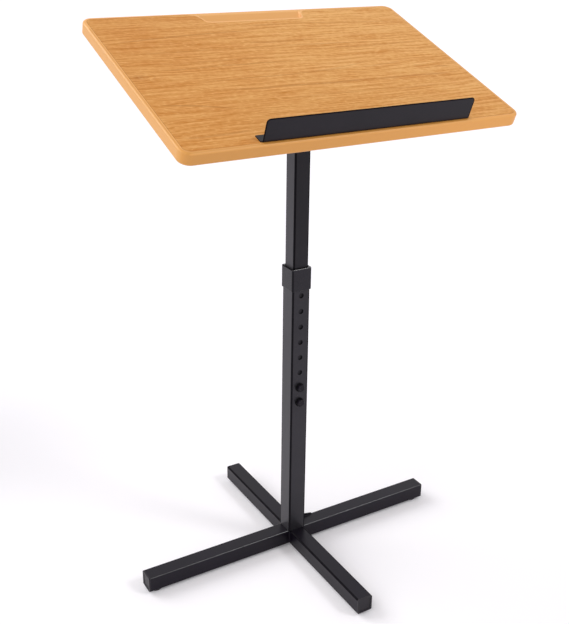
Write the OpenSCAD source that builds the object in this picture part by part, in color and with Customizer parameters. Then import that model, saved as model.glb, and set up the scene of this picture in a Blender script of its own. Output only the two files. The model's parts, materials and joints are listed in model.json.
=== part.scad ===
// Height-adjustable lectern on a cross base, with a sloping desk and a sheet-steel paper stop.
// Millimetres. X runs left to right for the reader, Y away from the reader, Z up.
// The origin lies on the floor under the column. The mast stands at its lowest height.

/* [Base] */

// Outer side of the square base tubes
leg_side = 30; // [26:1:36]

// Wall of the base tubes
leg_wall = 1.5; // [1.2:0.1:2.5]

// Length of the base from left to right, over its end caps
base_length = 620; // [480:10:760]

// Depth of the base from front to rear, over its end caps
base_depth = 500; // [400:10:640]

// Outer corner radius of all square tubes
tube_corner = 2.5; // [2:0.1:3]

// Thickness of an end cap outside its tube
cap_flange = 3; // [2:0.5:5]

// Depth of an end cap's plug inside its tube
cap_plug = 10; // [6:1:11]

// Wall of the hollow plugs
plug_wall = 2; // [1.5:0.1:3]

// Height of the floor glides
glide_height = 6; // [5:0.5:10]

// Diameter of the floor glides
glide_d = 22; // [16:1:26]

// Distance from the end of a leg to the centre of its glide
glide_inset = 18; // [18:1:60]

// Length of the stem that holds a glide in its tube
glide_stem = 9; // [5:1:16]

/* [Column] */

// Outer side of the fixed column tube
column_side = 35; // [34:1:40]

// Wall of the fixed column tube
column_wall = 1.5; // [1.2:0.1:1.8]

// Length of the fixed column tube
column_length = 539; // [500:1:640]

// Outer side of the sliding mast tube
mast_side = 30; // [28:0.5:30.5]

// Wall of the sliding mast tube
mast_wall = 1.5; // [1.2:0.1:2]

// Length of mast below its lower lock bolt
mast_tail = 30; // [20:1:60]

// Thickness of the guide at the mast's lower end
guide_flange = 4; // [3:0.5:8]

// Depth of the guide's plug inside the mast
guide_plug = 14; // [10:1:24]

// Height of the plastic collar
collar_height = 41; // [25:1:45]

// Side wall of the plastic collar
collar_wall = 2; // [1.5:0.1:3]

// Top lip of the plastic collar
collar_lip = 3; // [2:0.5:5]

/* [Height holes] */

// Number of height holes in the column
hole_count = 8; // [4:1:10]

// Distance from one height hole to the next
hole_pitch = 30; // [25:1:34]

// Diameter of a height hole
hole_d = 9; // [8.6:0.1:10]

// Distance from the column's top to its first hole
first_hole_drop = 48; // [46:1:70]

/* [Lock bolts] */

// Thread diameter of the lock bolts
lock_d = 8; // [6:1:8]

// Width across flats of a lock bolt's head
lock_flats = 13; // [12:0.5:16]

// Height of a lock bolt's head
lock_head = 5.3; // [4:0.1:8]

// Diameter of the washer under the head
lock_washer_d = 17; // [14:0.5:22]

// Thickness of the washer under the head
lock_washer_t = 1.6; // [1:0.1:2.5]

// Width across flats of the nuts
nut_flats = 13; // [12:0.5:14]

// Thickness of the nuts
nut_height = 6.5; // [5:0.5:8]

/* [Foot joint] */

// Diameter of the bolt that holds the column on the base
foot_bolt_d = 8; // [6:1:8]

// Head height of the foot bolt
foot_head_height = 4.4; // [3:0.1:4.8]

// Thickness of the plate in the column's foot
foot_plate_t = 3; // [2:0.5:6]

// Outer diameter of the sleeve that keeps the base tube from crushing
sleeve_d = 14; // [12:0.5:18]

// Length of the stop tab behind the column's foot
tab_length = 34; // [20:1:50]

// Height of the stop tab at the column
tab_height = 9; // [5:0.5:16]

// Thickness of the stop tab
tab_t = 3; // [2:0.5:4]

/* [Desk] */

// Slope of the desk in degrees
desk_slope = 20.5; // [10:0.5:30]

// Width of the desk
desk_width = 600; // [480:10:760]

// Depth of the desk along its slope
desk_depth = 400; // [320:10:480]

// Corner radius of the desk in plan
desk_corner = 18; // [16:1:30]

// Height of the desk's front upper edge above the floor
desk_front_height = 848; // [780:1:960]

// Distance from the desk's front upper edge to the column's axis
desk_front_reach = 198; // [160:1:240]

// Thickness of the wood-grain laminate
laminate_t = 1; // [0.6:0.1:1.5]

// Thickness of the chipboard core
core_t = 16; // [15:0.5:25]

// Thickness of the backing sheet
backing_t = 0.5; // [0.4:0.1:1]

// Visible width of the moulded rim on the desk's top
rim_band = 6; // [4:0.5:8]

// Width of the rim's ledge under the core
rim_ledge = 13; // [8:1:15]

// Thickness of the rim's ledge under the core
rim_ledge_t = 3; // [2:0.5:5]

// Rounding of the rim's outer edges
rim_round = 3.5; // [1:0.1:3.9]

/* [Pen tray] */

// Width of the pen tray at its front
tray_width = 172; // [120:1:260]

// Depth of the pen tray zone from the desk's rear edge
tray_zone = 37; // [28:1:50]

// Depth of the trough below the desk's top
tray_drop = 5; // [4:0.5:8]

// Wall and floor thickness of the tray
tray_wall = 2.5; // [2:0.1:4]

// Radius of the tray's front corners
tray_turn = 8; // [5:0.5:12]

// Radius of the flare where the tray meets the rear edge
tray_flare = 14; // [6:1:20]

// Draft of the tray's ends over its depth
tray_draft = 8; // [2:1:12]

/* [Paper stop] */

// Length of the upright lip
stop_length = 368; // [240:1:460]

// Height of the lip above the desk
stop_height = 37; // [20:1:60]

// Depth of the flange that lies on the desk
stop_flange = 18; // [14:1:30]

// Length that the flange sticks out past each end of the lip
stop_ear = 3; // [1:0.5:8]

// Thickness of the sheet steel
stop_t = 1.5; // [1:0.1:2.5]

// Corner radius of the lip
stop_corner = 6; // [2:0.5:12]

// Distance from the desk's front edge to the lip
stop_setback = 6; // [3:0.5:20]

// Number of screws in the flange
stop_screw_count = 3; // [2:1:6]

// Thread diameter of the flange screws
stop_screw_d = 3.5; // [3:0.1:4]

// Length of the flange screws
stop_screw_length = 14; // [8:1:16]

// Offset of the paper stop to the reader's right
stop_shift = 8; // [-30:1:30]

/* [Head bracket] */

// Width of the head plate under the desk
head_width = 180; // [140:5:240]

// Depth of the head plate along the slope
head_depth = 120; // [100:5:160]

// Distance of the screw holes from the head plate's edges
head_hole_inset = 14; // [10:1:24]

// Thickness of the gussets under the head plate
gusset_t = 3; // [2:0.5:5]

// Reach of a gusset from the mast
gusset_reach = 34; // [20:1:34]

// Height of a gusset along the mast
gusset_drop = 45; // [25:1:80]

// Thread diameter of the desk screws
desk_screw_d = 4.8; // [4:0.1:6]

// Length of the desk screws
desk_screw_length = 16; // [10:1:18]

/* [Hidden] */

$fn = 48;
eps = 1;                    // overshoot of cuts, so that they leave no skin

// clearances
slide_gap = 0.3;            // each side, between pieces that slide past each other
plug_gap = 0.15;            // each side, between a pushed-in plug and its tube
collar_gap = 0.05;          // each side, between the collar and the column
hole_gap = 0.25;            // on radius, between a bolt and a drilled hole
thread_gap = 0.06;          // on radius, between a thread and its nut
pilot_gap = 0.05;           // on radius, between a wood screw and its pilot hole
washer_gap = 0.2;           // on radius, between a lock bolt and its washer
seat_gap = 0.2;             // between a lock bolt's seat faces at rest

// base
leg_axis_z = glide_height + leg_side/2;
leg_top_z = glide_height + leg_side;
half_length = base_length/2 - cap_flange;
half_depth = base_depth/2 - cap_flange;
glide_x = base_length/2 - glide_inset;
glide_y = base_depth/2 - glide_inset;
stem_d = 6;                 // glide stem
cap_panel = 0.8;            // depth of the shallow panel in a cap's face
cap_border = 3.5;           // border around that panel

// column and mast
column_top_z = leg_top_z + column_length;
column_inner = column_side - 2*column_wall;
mast_inner = mast_side - 2*mast_wall;
collar_outer = column_side + 2*(collar_gap + collar_wall);
first_hole_z = column_top_z - first_hole_drop;
lower_lock_z = first_hole_z - (hole_count - 1)*hole_pitch;
upper_lock_z = lower_lock_z + hole_pitch;
mast_foot_z = lower_lock_z - mast_tail;

// desk frame: origin at the middle of the front upper edge, Y up the slope, Z out of the desk
ledge_top = -(laminate_t + core_t + backing_t);
desk_under = ledge_top - rim_ledge_t;
desk_t = -desk_under;
mast_top_z = desk_front_height + desk_front_reach*tan(desk_slope) + desk_under/cos(desk_slope);
mast_on_desk = (desk_front_reach + desk_under*sin(desk_slope))/cos(desk_slope);
core_inset = rim_band;

// tray outline
tray_front = desk_depth - tray_zone;
tray_rear = desk_depth - rim_band;
tray_steps = 16;
tray_bead = 2.5;            // flat bead around the trough
trough_front_run = 3.5;     // run of the trough's steep front wall
trough_rear_run = 11.5;     // run of its gentle rise to the rear edge
trough_end_run = 5;         // run of its sloping ends

// lock bolts, as distances from the column's axis
column_face = column_side/2;
mast_face = mast_side/2;
washer_back = column_face + seat_gap;
washer_front = washer_back + lock_washer_t;
head_back = washer_front + seat_gap;
nut_back = mast_face - mast_wall;
bolt_tip = nut_back - nut_height - 1;

// screws and bolts
head_ratio = 1.9;           // head diameter of a screw over its thread
screw_head_t = 2.6;
foot_head_d = 14;

// A square with round corners, centred
module round_square(w, d, r) {
    square([w - 2*r, d], center = true);
    square([w, d - 2*r], center = true);
    for (x = [-1, 1], y = [-1, 1])
        translate([x*(w/2 - r), y*(d/2 - r)]) circle(r);
}

// Section of a square tube
module tube_section(side, wall) {
    difference() {
        round_square(side, side, tube_corner);
        round_square(side - 2*wall, side - 2*wall, inner_corner(wall));
    }
}
function inner_corner(wall) = max(tube_corner - wall, 0.4);

// A plug that fills a tube's mouth, hollow from behind
module tube_plug(side, wall, depth) {
    fit = side - 2*wall - 2*plug_gap;
    difference() {
        linear_extrude(depth) round_square(fit, fit, inner_corner(wall));
        translate([0, 0, -eps])
            linear_extrude(depth + 2*eps)
                round_square(fit - 2*plug_wall, fit - 2*plug_wall, 0.4);
    }
}

module hex_prism(flats, height) {
    cylinder(d = flats/cos(30), h = height, $fn = 6);
}

// A pan-head screw that points up, its head under the plane z = 0
module pan_screw(d, length) {
    translate([0, 0, -screw_head_t]) {
        cylinder(d1 = d*head_ratio - 1, d2 = d*head_ratio, h = 1);
        translate([0, 0, 1]) cylinder(d = d*head_ratio, h = screw_head_t - 1);
    }
    cylinder(d = d, h = length - d);
    translate([0, 0, length - d]) cylinder(d1 = d, d2 = d/3, h = d);
}

// Base

module side_tube() {
    color("dimgray") difference() {
        translate([-half_length, 0, leg_axis_z]) rotate([0, 90, 0])
            linear_extrude(2*half_length) tube_section(leg_side, leg_wall);
        translate([0, 0, glide_height - eps])
            cylinder(d = foot_bolt_d + 2*hole_gap, h = leg_side + 2*eps);
        for (x = [-glide_x, glide_x])
            translate([x, 0, glide_height - eps]) cylinder(d = stem_d, h = leg_wall + 2*eps);
    }
}

// A leg that runs out along +Y from the side of the long tube
module short_leg() {
    difference() {
        translate([0, leg_side/2, leg_axis_z]) rotate([-90, 0, 0])
            linear_extrude(half_depth - leg_side/2) tube_section(leg_side, leg_wall);
        translate([0, glide_y, glide_height - eps]) cylinder(d = stem_d, h = leg_wall + 2*eps);
    }
}

module rear_leg() { color("dimgray") short_leg(); }

module front_leg() { color("dimgray") rotate([0, 0, 180]) short_leg(); }

// An end cap whose face looks along +X, seated on the tube end at the origin
module end_cap() {
    rotate([0, 90, 0]) {
        difference() {
            linear_extrude(cap_flange) round_square(leg_side, leg_side, tube_corner);
            translate([0, 0, cap_flange - cap_panel]) linear_extrude(cap_panel + eps)
                round_square(leg_side - 2*cap_border, leg_side - 2*cap_border, 1.5);
        }
        translate([0, 0, -cap_plug]) tube_plug(leg_side, leg_wall, cap_plug);
    }
}

module left_cap() { color("black") translate([-half_length, 0, leg_axis_z]) rotate(180) end_cap(); }

module right_cap() { color("black") translate([half_length, 0, leg_axis_z]) end_cap(); }

module front_cap() { color("black") translate([0, -half_depth, leg_axis_z]) rotate(-90) end_cap(); }

module rear_cap() { color("black") translate([0, half_depth, leg_axis_z]) rotate(90) end_cap(); }

module glide() {
    bevel = 1.5;
    cylinder(d1 = glide_d - 2*bevel, d2 = glide_d, h = bevel);
    translate([0, 0, bevel]) cylinder(d = glide_d, h = glide_height - bevel);
    cylinder(d = stem_d, h = glide_height + glide_stem);
}

module glides() {
    color("darkslategray") {
        for (x = [-glide_x, glide_x]) translate([x, 0, 0]) glide();
        for (y = [-glide_y, glide_y]) translate([0, y, 0]) glide();
    }
}

// Foot joint

module crush_sleeve() {
    color("silver") translate([0, 0, glide_height + leg_wall]) difference() {
        cylinder(d = sleeve_d, h = leg_side - 2*leg_wall);
        translate([0, 0, -eps]) cylinder(d = foot_bolt_d + 2*hole_gap, h = leg_side);
    }
}

module foot_bolt() {
    reach = leg_side + foot_plate_t + nut_height + 1.5;
    socket = foot_head_height - 1.8;
    color("gray") translate([0, 0, glide_height]) {
        cylinder(d = foot_bolt_d, h = reach);
        translate([0, 0, -foot_head_height]) difference() {
            cylinder(d1 = foot_head_d - 4, d2 = foot_head_d, h = foot_head_height);
            translate([0, 0, -eps]) hex_prism(5, socket + eps);
        }
    }
}

// The low tab on the long tube that keeps the column from turning
module stop_tab() {
    low = 2;
    color("dimgray")
        translate([column_face + plug_gap, leg_side/2 - tab_t - tube_corner/2, leg_top_z])
            rotate([90, 0, 0]) mirror([0, 0, 1]) linear_extrude(tab_t)
                polygon([[0, 0], [tab_length, 0], [tab_length, low], [0, tab_height]]);
}

module foot_plate() {
    fit = column_inner - 2*plug_gap;
    color("silver") translate([0, 0, leg_top_z]) difference() {
        linear_extrude(foot_plate_t) round_square(fit, fit, inner_corner(column_wall));
        translate([0, 0, -eps]) cylinder(d = foot_bolt_d + 2*hole_gap, h = foot_plate_t + 2*eps);
    }
}

module foot_nut() {
    color("silver") translate([0, 0, leg_top_z + foot_plate_t]) difference() {
        hex_prism(nut_flats, nut_height);
        translate([0, 0, -eps]) cylinder(d = foot_bolt_d + 2*thread_gap, h = nut_height + 2*eps);
    }
}

// Column and mast

module column_tube() {
    color("dimgray") difference() {
        translate([0, 0, leg_top_z])
            linear_extrude(column_length) tube_section(column_side, column_wall);
        for (i = [0 : hole_count - 1])
            translate([0, -column_face - eps, first_hole_z - i*hole_pitch])
                rotate([-90, 0, 0]) cylinder(d = hole_d, h = column_wall + 2*eps);
    }
}

module collar() {
    bottom = column_top_z + collar_lip - collar_height;
    seat = column_side + 2*collar_gap;
    pass = mast_side + 2*slide_gap;
    color("black") translate([0, 0, bottom]) difference() {
        linear_extrude(collar_height) round_square(collar_outer, collar_outer, tube_corner + 1);
        translate([0, 0, -eps]) linear_extrude(collar_height - collar_lip + eps)
            round_square(seat, seat, tube_corner);
        translate([0, 0, -eps]) linear_extrude(collar_height + 2*eps)
            round_square(pass, pass, tube_corner);
    }
}

// Everything below the desk's underside, for cutting the mast to the slope
module below_desk() {
    span = 4*mast_side;
    translate([0, 0, mast_top_z]) rotate([desk_slope, 0, 0])
        translate([-span/2, -span/2, 0]) cube([span, span, span]);
}

module mast_tube() {
    long = mast_top_z - mast_foot_z + mast_side;
    color("dimgray") difference() {
        translate([0, 0, mast_foot_z]) linear_extrude(long) tube_section(mast_side, mast_wall);
        below_desk();
        for (z = [lower_lock_z, upper_lock_z])
            translate([0, -mast_face - eps, z])
                rotate([-90, 0, 0]) cylinder(d = lock_d + 2*hole_gap, h = mast_wall + 2*eps);
    }
}

module mast_guide() {
    side = column_inner - 2*slide_gap;
    color("black") {
        translate([0, 0, mast_foot_z - guide_flange])
            linear_extrude(guide_flange) round_square(side, side, tube_corner - column_wall);
        translate([0, 0, mast_foot_z]) tube_plug(mast_side, mast_wall, guide_plug);
    }
}

module lock_nuts() {
    color("silver") for (z = [lower_lock_z, upper_lock_z])
        translate([0, -nut_back, z]) rotate([-90, 0, 0]) difference() {
            hex_prism(nut_flats, nut_height);
            translate([0, 0, -eps]) cylinder(d = lock_d + 2*thread_gap, h = nut_height + 2*eps);
        }
}

// Lock bolts: each piece is drawn at height 0 with its axis along Y

module lock_washer() {
    edge = 0.4;
    translate([0, -washer_back, 0]) rotate([90, 0, 0]) difference() {
        union() {
            cylinder(d = lock_washer_d, h = lock_washer_t - edge);
            translate([0, 0, lock_washer_t - edge])
                cylinder(d1 = lock_washer_d, d2 = lock_washer_d - 2*edge, h = edge);
        }
        translate([0, 0, -eps]) cylinder(d = lock_d + 2*washer_gap, h = lock_washer_t + 2*eps);
    }
}

// A hexagon bolt whose chamfered head looks along -Y, with two corners level
module lock_bolt() {
    point = 1;
    shank = head_back - bolt_tip;
    corner_r = lock_flats/cos(30)/2;
    chamfer = (corner_r - lock_flats/2)*tan(30);
    translate([0, -bolt_tip, 0]) rotate([90, 0, 0]) {
        cylinder(d1 = lock_d - 2*point, d2 = lock_d, h = point);
        translate([0, 0, point]) cylinder(d = lock_d, h = shank - point + eps);
        translate([0, 0, shank]) intersection() {
            hex_prism(lock_flats, lock_head);
            union() {
                cylinder(r = corner_r + eps, h = lock_head - chamfer);
                translate([0, 0, lock_head - chamfer])
                    cylinder(r1 = corner_r, r2 = lock_flats/2, h = chamfer);
            }
        }
    }
}

module upper_washer() { color("black") translate([0, 0, upper_lock_z]) lock_washer(); }

module upper_bolt() { color("black") translate([0, 0, upper_lock_z]) lock_bolt(); }

module lower_washer() { color("black") translate([0, 0, lower_lock_z]) lock_washer(); }

module lower_bolt() { color("black") translate([0, 0, lower_lock_z]) lock_bolt(); }

// Desk

// Puts children from the desk frame into place
module on_desk() {
    translate([0, -desk_front_reach, desk_front_height]) rotate([desk_slope, 0, 0]) children();
}

// Half the tray's width at share t of its depth: a turn, a drafted side, then a flare
function tray_half(t) =
    let (turn = min(t*(tray_rear - tray_front)/tray_turn, 1),
         flare = max(1 - (1 - t)*(tray_rear - tray_front)/tray_flare, 0))
    tray_width/2 + tray_turn*sqrt(1 - pow(1 - turn, 2)) + tray_draft*t
        + tray_flare*(1 - sqrt(1 - pow(flare, 2)));

// Plan of the tray, drawn in by an inset all round
module tray_plan(inset) {
    depth = tray_rear - tray_front - 2*inset;
    side = [for (i = [0 : tray_steps])
        [tray_half(i/tray_steps) - inset, tray_front + inset + depth*i/tray_steps]];
    polygon(concat(side, [for (i = [tray_steps : -1 : 0]) [-side[i][0], side[i][1]]]));
}

// Screw places of the head plate, in the desk frame
module at_desk_screws() {
    for (x = [-1, 1], y = [-1, 1])
        translate([x*(head_width/2 - head_hole_inset),
            mast_on_desk + y*(head_depth/2 - head_hole_inset), desk_under]) children();
}

// Screw places of the paper stop's flange, in the desk frame
module at_stop_screws() {
    run = stop_length - 60;
    for (i = [0 : stop_screw_count - 1])
        translate([stop_shift - run/2 + i*run/(stop_screw_count - 1),
            stop_setback + stop_t + (stop_flange - stop_t)*0.55, stop_t]) children();
}

module head_plate() {
    corner = 8;
    color("dimgray") on_desk() difference() {
        translate([0, mast_on_desk, desk_under]) linear_extrude(rim_ledge_t)
            round_square(head_width, head_depth, corner);
        at_desk_screws() translate([0, 0, -eps])
            cylinder(d = desk_screw_d + 2*hole_gap, h = rim_ledge_t + 2*eps);
    }
}

// One gusset in front of the mast and one behind it, both cut to the desk's underside
module head_gussets() {
    toe = 6;
    function under(y) = mast_top_z + y*tan(desk_slope);
    color("dimgray") for (side = [-1, 1]) {
        near = side*mast_face;
        far = side*(mast_face + gusset_reach);
        rotate([90, 0, 90]) linear_extrude(gusset_t, center = true)
            polygon([[near, under(near)], [far, under(far)], [far, under(far) - toe],
                [near + side*toe, under(near) - gusset_drop], [near, under(near) - gusset_drop]]);
    }
}

module desk_screws() {
    color("silver") on_desk() at_desk_screws() pan_screw(desk_screw_d, desk_screw_length);
}

// Plan of the core, the laminate and the backing
module panel_plan() {
    translate([0, desk_depth/2]) round_square(desk_width - 2*core_inset,
        desk_depth - 2*core_inset, desk_corner - core_inset);
}

module desk_core() {
    tray_seat = tray_drop + tray_wall;
    color("burlywood") on_desk() difference() {
        translate([0, 0, -laminate_t - core_t]) linear_extrude(core_t) panel_plan();
        translate([0, 0, -tray_seat]) linear_extrude(tray_seat) tray_plan(0);
        at_desk_screws() cylinder(d = desk_screw_d + 2*pilot_gap, h = desk_screw_length + eps);
        at_stop_screws() mirror([0, 0, 1])
            cylinder(d = stop_screw_d + 2*pilot_gap, h = stop_screw_length + eps);
    }
}

module desk_backing() {
    color("tan") on_desk() difference() {
        translate([0, 0, ledge_top]) linear_extrude(backing_t) panel_plan();
        at_desk_screws() cylinder(d = desk_screw_d + 2*pilot_gap, h = desk_screw_length);
    }
}

module desk_laminate() {
    color("goldenrod") on_desk() difference() {
        translate([0, 0, -laminate_t]) linear_extrude(laminate_t) difference() {
            panel_plan();
            tray_plan(0);
        }
        at_stop_screws() mirror([0, 0, 1])
            cylinder(d = stop_screw_d + 2*pilot_gap, h = stop_screw_length);
    }
}

// Section of the rim: X runs inward from the outer face, Y is the height
module rim_section() {
    difference() {
        union() {
            translate([0, -desk_t]) square([rim_band, desk_t]);
            translate([0, -desk_t]) square([rim_ledge, rim_ledge_t]);
        }
        for (top = [0, 1]) translate([0, top ? 0 : -desk_t]) mirror([0, top ? 0 : 1])
            translate([0, -rim_round]) difference() {
                translate([-eps, 0]) square([rim_round + eps, rim_round + eps]);
                translate([rim_round, 0]) circle(rim_round);
            }
    }
}

module rim_run(length) {
    rotate([90, 0, 90]) linear_extrude(length, center = true) rim_section();
}

module desk_rim() {
    across = desk_width - 2*desk_corner;
    along = desk_depth - 2*desk_corner;
    color("sandybrown") on_desk() translate([0, desk_depth/2, 0]) {
        for (a = [0, 180]) rotate(a) translate([0, -desk_depth/2, 0]) rim_run(across);
        for (a = [90, 270]) rotate(a) translate([0, -desk_width/2, 0]) rim_run(along);
        for (x = [0, 1], y = [0, 1]) mirror([x, 0, 0]) mirror([0, y, 0])
            translate([across/2, along/2, 0]) rotate_extrude(angle = 90)
                translate([desk_corner, 0]) mirror([1, 0]) rim_section();
    }
}

module pen_tray() {
    rear = tray_rear - tray_bead;
    front = tray_front + tray_bead;
    end = tray_width/2 + tray_turn + tray_draft/2;
    color("sandybrown") on_desk() difference() {
        translate([0, 0, -tray_drop - tray_wall])
            linear_extrude(tray_drop + tray_wall) tray_plan(0);
        intersection() {
            translate([0, 0, -tray_drop - eps])
                linear_extrude(tray_drop + 2*eps) tray_plan(tray_bead);
            rotate([90, 0, 90]) linear_extrude(desk_width, center = true)
                polygon([[front, 0], [front + trough_front_run, -tray_drop],
                    [rear - trough_rear_run, -tray_drop], [rear, 0], [rear, eps], [front, eps]]);
            translate([0, desk_depth, 0]) rotate([90, 0, 0]) linear_extrude(desk_depth)
                polygon([[-end, eps], [-end, 0], [trough_end_run - end, -tray_drop],
                    [end - trough_end_run, -tray_drop], [end, 0], [end, eps]]);
        }
    }
}

// Paper stop

// Section across the sheet: X up the slope from the lip's front face, Y out of the desk
module stop_section() {
    bend = stop_t + 1;
    difference() {
        union() {
            square([stop_t, stop_height]);
            square([stop_flange, stop_t]);
            translate([stop_t, stop_t]) square(1);
        }
        difference() {
            translate([-eps, -eps]) square(bend + eps);
            translate([bend, bend]) circle(bend);
        }
        translate([bend, bend]) circle(1);
    }
}

module paper_stop() {
    color("dimgray") on_desk() translate([0, stop_setback, 0]) difference() {
        translate([stop_shift, 0, 0]) union() {
            intersection() {
                rotate([90, 0, 90]) linear_extrude(stop_length, center = true) stop_section();
                translate([0, stop_flange + eps, 0]) rotate([90, 0, 0])
                    linear_extrude(stop_flange + 2*eps)
                        round_square(stop_length, 2*stop_height, stop_corner);
            }
            translate([0, stop_t + 1 + (stop_flange - stop_t - 1)/2, 0])
                linear_extrude(stop_t)
                    square([stop_length + 2*stop_ear, stop_flange - stop_t - 1], center = true);
        }
        translate([0, -stop_setback, 0]) at_stop_screws() translate([0, 0, -stop_t - eps])
            cylinder(d = stop_screw_d + 2*hole_gap, h = stop_t + 2*eps);
    }
}

module stop_screws() {
    color("silver") on_desk() at_stop_screws() mirror([0, 0, 1])
        pan_screw(stop_screw_d, stop_screw_length);
}

side_tube();
front_leg();
rear_leg();
left_cap();
right_cap();
front_cap();
rear_cap();
glides();
crush_sleeve();
foot_bolt();
stop_tab();
column_tube();
foot_plate();
foot_nut();
collar();
mast_tube();
mast_guide();
lock_nuts();
upper_washer();
upper_bolt();
lower_washer();
lower_bolt();
head_plate();
head_gussets();
desk_screws();
desk_core();
desk_backing();
desk_laminate();
desk_rim();
pen_tray();
paper_stop();
stop_screws();
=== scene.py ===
import json
import math
import random
import bpy
import bmesh
from mathutils import Matrix, Vector


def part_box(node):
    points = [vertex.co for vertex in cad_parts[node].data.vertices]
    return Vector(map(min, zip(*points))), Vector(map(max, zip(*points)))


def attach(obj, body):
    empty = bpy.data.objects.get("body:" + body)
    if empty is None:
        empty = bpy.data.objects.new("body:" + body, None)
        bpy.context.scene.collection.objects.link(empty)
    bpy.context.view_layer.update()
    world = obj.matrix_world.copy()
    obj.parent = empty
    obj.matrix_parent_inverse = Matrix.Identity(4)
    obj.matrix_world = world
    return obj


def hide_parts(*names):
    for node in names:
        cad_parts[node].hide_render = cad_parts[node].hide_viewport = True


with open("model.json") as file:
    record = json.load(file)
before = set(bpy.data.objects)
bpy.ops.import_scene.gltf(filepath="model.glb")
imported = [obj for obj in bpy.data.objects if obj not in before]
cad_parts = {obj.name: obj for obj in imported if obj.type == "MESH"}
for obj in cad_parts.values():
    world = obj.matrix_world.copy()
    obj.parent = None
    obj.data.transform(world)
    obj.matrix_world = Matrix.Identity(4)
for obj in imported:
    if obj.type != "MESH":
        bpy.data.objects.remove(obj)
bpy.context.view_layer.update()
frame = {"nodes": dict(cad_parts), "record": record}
nodes = frame["nodes"]
mounts = {mount["name"]: mount for mount in frame["record"]["mounts"]}
print("frame loaded:", len(nodes), "nodes")

# metres, X to the reader's right, Y away from the reader, Z up
mm = 0.001
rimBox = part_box("desk_rim")
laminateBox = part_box("desk_laminate")
deskSize = {
    "width": rimBox[1].x - rimBox[0].x,
    "depth": 400 * mm,
    "thick": 20.5 * mm,
    "corner": 18 * mm,
    "band": laminateBox[0].x - rimBox[0].x,     # rim seen from above
    "tray": 363 * mm,       # the tray starts this far up the slope
    "mountRun": 200 * mm,   # the mount lies this far up the slope
}

# desk frame: u to the right, v up the slope from the front edge, n out of the desk
deskOut = Vector(mounts["reading_surface"]["axis"]).normalized()
deskSlope = math.atan2(-deskOut.y, deskOut.z)
deskUp = Vector((0, math.cos(deskSlope), math.sin(deskSlope)))
deskOrigin = Vector(mounts["reading_surface"]["pos_m"]) - deskUp * deskSize["mountRun"]
deskPlace = Matrix.Translation(deskOrigin) @ Matrix.Rotation(deskSlope, 4, "X")


# Camera, floor and light

viewpoint = {
    "azimuth": -30.795,
    "elevation": 22.91,
    "roll": 0.683,
    "distance": 1.6634,
    "target": (-0.01737, 0.01035, 0.48953),
    "lens": 53.864,
    "sensor": 36,
}


def placeCamera():
    azimuth = math.radians(viewpoint["azimuth"])
    elevation = math.radians(viewpoint["elevation"])
    roll = math.radians(viewpoint["roll"])
    back = Vector((math.sin(azimuth) * math.cos(elevation),
                   -math.cos(azimuth) * math.cos(elevation), math.sin(elevation)))
    right = (-back).cross(Vector((0, 0, 1))).normalized()
    up = right.cross(-back)
    sideways = right * math.cos(roll) + up * math.sin(roll)
    upright = up * math.cos(roll) - right * math.sin(roll)
    data = bpy.data.cameras.new("photoCamera")
    data.lens = viewpoint["lens"]
    data.sensor_width = viewpoint["sensor"]
    data.clip_end = 200
    camera = bpy.data.objects.new("photoCamera", data)
    turn = Matrix((sideways, upright, back)).transposed().to_4x4()
    camera.matrix_world = Matrix.Translation(
        Vector(viewpoint["target"]) + back * viewpoint["distance"]) @ turn
    bpy.context.scene.collection.objects.link(camera)
    bpy.context.scene.camera = camera


placeCamera()
bpy.context.scene.view_settings.view_transform = "Standard"


# Shader maths: a wire is one output socket, and expressions on wires add Math nodes

class Wire:
    def __init__(self, sheet, socket):
        self.sheet = sheet
        self.socket = socket

    def maths(self, operation, *others):
        return self.sheet.node("ShaderNodeMath", {"operation": operation},
                               dict(enumerate((self, *others))))

    def __add__(self, other):
        return self.maths("ADD", other)

    def __radd__(self, other):
        return self.maths("ADD", other)

    def __sub__(self, other):
        return self.maths("SUBTRACT", other)

    def __rsub__(self, other):
        return self.sheet.node("ShaderNodeMath", {"operation": "SUBTRACT"}, {0: other, 1: self})

    def __mul__(self, other):
        return self.maths("MULTIPLY", other)

    def __rmul__(self, other):
        return self.maths("MULTIPLY", other)

    def __truediv__(self, other):
        return self.maths("DIVIDE", other)

    def __abs__(self):
        return self.maths("ABSOLUTE")

    def above(self, low, high):
        # 0 below low, 1 above high, smooth between
        return self.sheet.node("ShaderNodeMapRange", {"interpolation_type": "SMOOTHSTEP"},
                               {"Value": self, "From Min": low, "From Max": high})

    def below(self, low, high):
        return 1 - self.above(low, high)


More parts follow.
